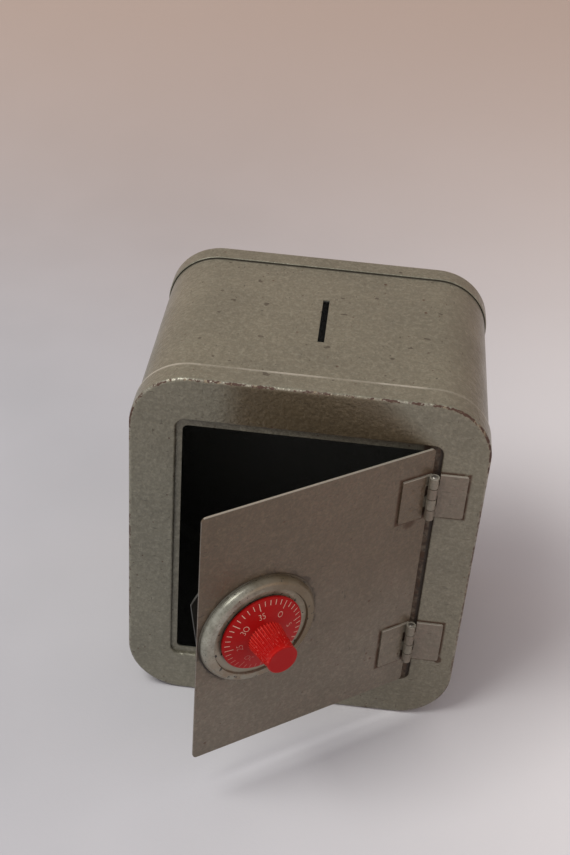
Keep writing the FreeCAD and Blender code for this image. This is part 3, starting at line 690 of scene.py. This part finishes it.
def bezel_paint():
    """Worn silver-grey paint, darker and browner towards the bottom, with painted shade on its upper hinge
    side and a few black flecks.
    """
    shader = Shader("bezel_worn_paint")
    _, bezel_radius = tip_and_radius("dial_bezel")
    cloud = shader.noise(7 * MM, detail=4.0, roughness=0.65)
    fine = shader.noise(0.8 * MM, detail=3.0)
    base = shader.mix(shader.ramp(cloud, 0.35, 0.65), BEZEL_DULL, BEZEL_SILVER)
    base = shader.mix(shader.math("MULTIPLY", shader.ramp(fine, 0.50, 0.70), 0.5), base, PAINT_DARK)
    offset, height, ring = dial_offsets(shader)
    lower = shader.vector("DOT_PRODUCT", offset, tuple(-UP))
    aside = shader.vector("DOT_PRODUCT", offset, tuple(DOOR_ACROSS))
    # darker and browner towards the bottom
    lower_brown = shader.ramp(lower, -4 * MM, 15 * MM)
    lower_brown = shader.math("MULTIPLY", lower_brown, shader.ramp(cloud, 0.36, 0.56))
    base = shader.mix(shader.math("MULTIPLY", lower_brown, 0.75), base, BEZEL_LOWER_BROWN)
    # painted shade: darker and browner on the bezel's upper hinge side
    painted_brown_shade = shader.ramp(shader.math("MULTIPLY_ADD", lower, -0.25, aside), -11 * MM, 14 * MM)
    base = shader.mix(shader.math("MULTIPLY", painted_brown_shade, 0.85), base, BEZEL_SHADE_BROWN)
    deep = shader.ramp(height, 2.75 * MM, 2.4 * MM)
    smoky = shader.mix(shader.ramp(cloud, 0.40, 0.60), DISH_DARK, DISH_PALE)
    smoky = shader.mix(shader.ramp(lower, -6 * MM, 12 * MM), smoky, DISH_FOOT)
    inside = shader.ramp(ring, bezel_radius * 0.82, bezel_radius * 0.79)
    base = shader.mix(shader.math("MULTIPLY", deep, inside), base, smoky)
    flecks = shader.ramp(shader.noise(1.8 * MM, detail=3.0, shift=0.83), 0.66, 0.70)
    base = shader.mix(flecks, base, BLACK_FLECK)
    foot = shader.ramp(ring, bezel_radius - 0.75 * MM, bezel_radius - 0.45 * MM)
    dirty = shader.blend(shader.ramp(lower, -8 * MM, 6 * MM), 0.45, 1.0)
    base = shader.mix(shader.math("MULTIPLY", foot, dirty), base, GRIME_AND_SHADE)
    shader.set(Base_Color=base, Roughness=shader.blend(cloud, 0.26, 0.42), Metallic=0.35,
               Normal=shader.bump(fine, 0.05 * MM, 0.4))
    return shader.material


def cream_marking():
    """Cream paint in the dial's marks, worn away on the side that hangs lowest."""
    shader = Shader("cream_marking")
    fine = shader.noise(0.7 * MM, detail=2.0)
    offset, _, _ = dial_offsets(shader)
    low = shader.vector("DOT_PRODUCT", offset, tuple(DOOR_ACROSS * -0.35 - UP))
    rim_radius, _, _ = numbered_cone()
    inner = shader.math("SUBTRACT", rim_radius, shader.vector("LENGTH", offset))
    fingered = shader.math("MULTIPLY_ADD", inner, 1.7, low)
    fingered = shader.math("MULTIPLY_ADD", fine, 6 * MM, fingered)
    gone = shader.math("MULTIPLY", shader.ramp(fingered, 9 * MM, 18 * MM), 0.85)
    gone = shader.math("MAXIMUM", gone, shader.math("MULTIPLY", shader.ramp(fine, 0.56, 0.70), 0.5))
    shader.set(Base_Color=shader.mix(gone, CREAM, CREAM_WORN), Roughness=shader.blend(fine, 0.5, 0.65))
    return shader.material


# ---- dress the CAD nodes -------------------------------------------------------------------
def dress(node, material, angle=math.radians(32)):
    """Give a CAD node its material, smooth below `angle` between faces."""
    piece = NODES[node]
    for index in range(len(piece.material_slots)):
        piece.material_slots[index].link = "OBJECT"
        piece.material_slots[index].material = material
    smooth_by_angle(piece.data, angle)


def dress_all():
    dress("front_panel", hammered_paint("front_paint", wear=front_edge_wear, edge_highlight=front_edge_rub,
                                        inside=front_inside, grime_and_shade=front_grime, painted_brown_shade=front_browned,
                                        rusty=front_rusty))
    dress("body_wrapper", hammered_paint("wrapper_paint", inside=wrapper_inside, grime_and_shade=wrapper_grime))
    dress("rear_cap", hammered_paint("rear_paint", inside=rear_inside))
    # the door and hinge leaves take the warmer paint as painted warm shade
    dress("door_panel", hammered_paint("door_paint", grime_and_shade=door_grime, edge_highlight=door_rub, rusty=door_rusty,
                                       painted_brown_shade=door_browned, warm=0.75, mottle=1.4, relief=0.55))
    frame_leaf = hammered_paint("frame_leaf_paint", edge_highlight=leaf_rub, painted_brown_shade=frame_leaf_browned, warm=0.9)
    door_leaf = hammered_paint("door_leaf_paint", edge_highlight=leaf_rub, painted_brown_shade=leaf_browned, warm=0.6)
    for hinge in ("upper_hinge", "lower_hinge"):
        dress(hinge + "_frame_leaf", frame_leaf)
        dress(hinge + "_door_leaf", door_leaf)
    pin = steel("pin_steel", PIN_STEEL, 0.42)
    dress("upper_hinge_pin", pin)
    dress("lower_hinge_pin", pin)
    zinc = steel("zinc_plate", ZINC, 0.36)
    for node in ("door_backing_washer", "dial_spindle", "spacer_sleeve", "stop_washer"):
        dress(node, zinc)
    dress("dial_bushing", steel("dull_brass", BRASS, 0.4))
    spring = steel("spring_steel", SPRING_STEEL, 0.35)
    dress("wave_washer", spring)
    dress("spindle_retainer", spring)
    disc = steel("lock_disc_steel", DISC_STEEL, 0.5, size=1.6 * MM, stains=0.45)
    dress("drive_disc", disc)
    dress("combination_dial", red_plastic(), angle=math.radians(25))
    dress("dial_bezel", bezel_paint(), angle=math.radians(40))


# ---- dial markings -------------------------------------------------------------------------
DIVISIONS = 40
LABEL_EVERY = 5
ZERO_TURN = math.radians(-36)          # where the zero stands at rest; negative is clockwise from the top
TICK_WIDTH = 0.29 * MM
TICK_OUTER = 0.98                      # as shares of the numbered face's radius
TICK_INNER = 0.855
LABEL_TICK_INNER = 0.78
NUMERAL_RADIUS = 0.63
NUMERAL_SIZE = 3.3 * MM
NUMERAL_WIDTH = 0.90                   # drawn a little narrower than the font
PAINT_LIFT = 0.04 * MM                 # the marks stand this far off the plastic
KNOB_SHARE = 0.45                      # the knob is narrower than this share of the dial


def numbered_cone():
    """The numbered face: radius and height at its rim, and how much it rises per metre inwards."""
    _, widest = tip_and_radius("combination_dial")
    points = points_around_dial("combination_dial")
    rim_height = max(height for radius, height in points if radius > widest * 0.9)
    rim_radius = max(radius for radius, height in points if height > rim_height - 0.01 * MM)
    knob_radius = max(radius for radius, height in points if height > rim_height + 1 * MM)
    knob_height = min(height for radius, height in points
                      if height > rim_height + 1 * MM and radius > knob_radius - 0.01 * MM)
    return rim_radius, rim_height, (knob_height - rim_height) / (rim_radius - knob_radius)


def knob_cone():
    """The knob's fluted side: its radius and height where it meets the face, and its tip's radius."""
    tip, widest = tip_and_radius("combination_dial")
    rim_radius, rim_height, slope = numbered_cone()
    points = points_around_dial("combination_dial")
    base_radius = max(radius for radius, height in points
                      if height > rim_height + 1 * MM and radius < widest * KNOB_SHARE)
    tip_radius = max(radius for radius, height in points if height > tip * 0.8)
    return base_radius, rim_height + (rim_radius - base_radius) * slope, tip_radius


def lay_on_cone(point, cone):
    """Move a point drawn flat around the dial's centre onto the numbered face."""
    rim_radius, rim_height, slope = cone
    radius = math.hypot(point.x, point.y)
    return Vector((point.x, point.y, rim_height + (rim_radius - radius) * slope + PAINT_LIFT + point.z))


def make_tick(bm, turn, inner, outer, cone):
    """One painted line, a thin strip pointing at the dial's centre."""
    along = Vector((math.sin(-turn), math.cos(turn), 0))
    aside = Vector((along.y, -along.x, 0)) * TICK_WIDTH / 2
    corners = [along * inner - aside, along * inner + aside, along * outer + aside, along * outer - aside]
    bm.faces.new([bm.verts.new(lay_on_cone(corner, cone)) for corner in corners])


def make_dial_markings(material):
    """Forty ticks, and a numeral at every fifth one."""
    cone = numbered_cone()
    radius = cone[0]
    bm = bmesh.new()
    for number in range(DIVISIONS):
        turn = ZERO_TURN - 2 * math.pi * number / DIVISIONS
        inner = LABEL_TICK_INNER if number % LABEL_EVERY == 0 else TICK_INNER
        make_tick(bm, turn, radius * inner, radius * TICK_OUTER, cone)
    bm.transform(dial_frame())
    ticks = finish_mesh("dial_ticks", bm, material, smooth=False)
    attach(ticks, "dial")
    for number in range(0, DIVISIONS, LABEL_EVERY):
        turn = ZERO_TURN - 2 * math.pi * number / DIVISIONS
        text = bpy.data.curves.new("numeral", "FONT")
        text.body = str(number).replace("0", "O")     # the font's own zero is slashed
        text.size = NUMERAL_SIZE
        text.offset = -0.05 * MM
        text.align_x = "CENTER"
        text.align_y = "CENTER"
        holder = bpy.data.objects.new("numeral_holder", text)
        bpy.context.scene.collection.objects.link(holder)
        bpy.context.view_layer.update()
        mesh = bpy.data.meshes.new_from_object(holder.evaluated_get(bpy.context.evaluated_depsgraph_get()))
        bpy.data.objects.remove(holder)
        narrow = Matrix.Scale(NUMERAL_WIDTH, 4, (1, 0, 0))
        outward = Matrix.Translation((0, radius * NUMERAL_RADIUS, 0))
        mesh.transform(Matrix.Rotation(turn, 4, "Z") @ outward @ narrow)
        for vertex in mesh.vertices:
            vertex.co = dial_frame() @ lay_on_cone(vertex.co, cone)
        mesh.materials.clear()
        mesh.materials.append(material)
        numeral = bpy.data.objects.new("dial_numeral_" + str(number), mesh)
        bpy.context.scene.collection.objects.link(numeral)
        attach(numeral, "dial")


# ---- stage ---------------------------------------------------------------------------------
def make_floor():
    """A wide pale floor with a soft wide sweep up behind the safe; it is much paler towards the right,
    painted light that evens out the lamp.
    """
    shader = Shader("pale_floor")
    weave = shader.noise(1.2 * MM, detail=2.0)
    wide = shader.noise(90 * MM, detail=2.0)
    tone = shader.mix(shader.ramp(wide, 0.3, 0.7), FLOOR_DARK, FLOOR_PALE)
    # painted light: the floor turns much paler towards the right to even out the lamp
    right = shader.ramp(split_place(shader)["X"], -0.15, 0.35)
    tone = shader.mix(right, tone, FLOOR_RIGHT_PAINTED_LIGHT)
    far = shader.ramp(split_place(shader)["Y"], 0.15, 0.75)
    tone = shader.mix(far, tone, FLOOR_FAR)
    shader.set(Base_Color=tone, Roughness=0.9, Normal=shader.bump(weave, 0.1 * MM, 0.3))
    bm = bmesh.new()
    reach = 1.6
    sweep_start = 0.35
    sweep_radius = 0.5
    sweep_steps = 12
    line = [(-reach, 0.0)]
    for step in range(sweep_steps + 1):
        angle = math.radians(90 * step / sweep_steps)
        line.append((sweep_start + sweep_radius * math.sin(angle), sweep_radius * (1 - math.cos(angle))))
    line.append((sweep_start + sweep_radius, reach))
    rows = []
    for depth, height in line:
        rows.append([bm.verts.new((side * reach, depth, height)) for side in (-1, 1)])
    for nearer, farther in zip(rows, rows[1:]):
        bm.faces.new((nearer[0], nearer[1], farther[1], farther[0]))
    floor = finish_mesh("floor", bm, shader.material)


def make_light(name, place, target, width, height, power, tint):
    """A rectangular soft light at `place`, turned towards `target`."""
    data = bpy.data.lights.new(name, "AREA")
    data.shape = "RECTANGLE"
    data.size = width
    data.size_y = height
    data.energy = power
    data.color = tint
    lamp = bpy.data.objects.new(name, data)
    bpy.context.scene.collection.objects.link(lamp)
    lamp.location = place
    lamp.rotation_euler = (Vector(target) - Vector(place)).to_track_quat("-Z", "Y").to_euler()


def make_lights():
    """A soft light high on the left, a weak warm one low on the right, and an even sky."""
    middle = (0.0, 0.05, HEIGHT / 2)
    make_light("window_light", (-0.60, -0.33, 1.15), middle, 0.7, 0.6, 12.7, (1.0, 1.0, 0.95))
    make_light("warm_light", (0.85, -0.55, 0.30), middle, 0.6, 0.5, 1.3, (1.0, 0.62, 0.38))
    world = bpy.data.worlds.new("soft_world")
    world.use_nodes = True
    background = world.node_tree.nodes["Background"]
    background.inputs["Color"].default_value = SKY
    background.inputs["Strength"].default_value = 0.49
    bpy.context.scene.world = world


def make_camera():
    """Looks down at the safe from the front through a short telephoto lens, rolled a little to the left."""
    azimuth = math.radians(2.838)
    elevation = math.radians(35.31)
    roll = math.radians(4.506)
    back = Vector((math.sin(azimuth) * math.cos(elevation),
                   -math.cos(azimuth) * math.cos(elevation), math.sin(elevation)))
    level = (-back).cross(UP).normalized()
    upward = level.cross(-back)
    right = level * math.cos(roll) + upward * math.sin(roll)
    top = upward * math.cos(roll) - level * math.sin(roll)
    data = bpy.data.cameras.new("camera")
    data.sensor_width = 36.0
    data.lens = 58.69
    camera = bpy.data.objects.new("camera", data)
    bpy.context.scene.collection.objects.link(camera)
    camera.matrix_world = Matrix((right, top, back)).transposed().to_4x4()
    camera.location = (0.0111, FRONT_Y - 0.40484, 0.42385)
    bpy.context.scene.camera = camera


dress_all()
make_dial_markings(cream_marking())
make_floor()
make_lights()
make_camera()
bpy.context.scene.view_settings.view_transform = "Standard"
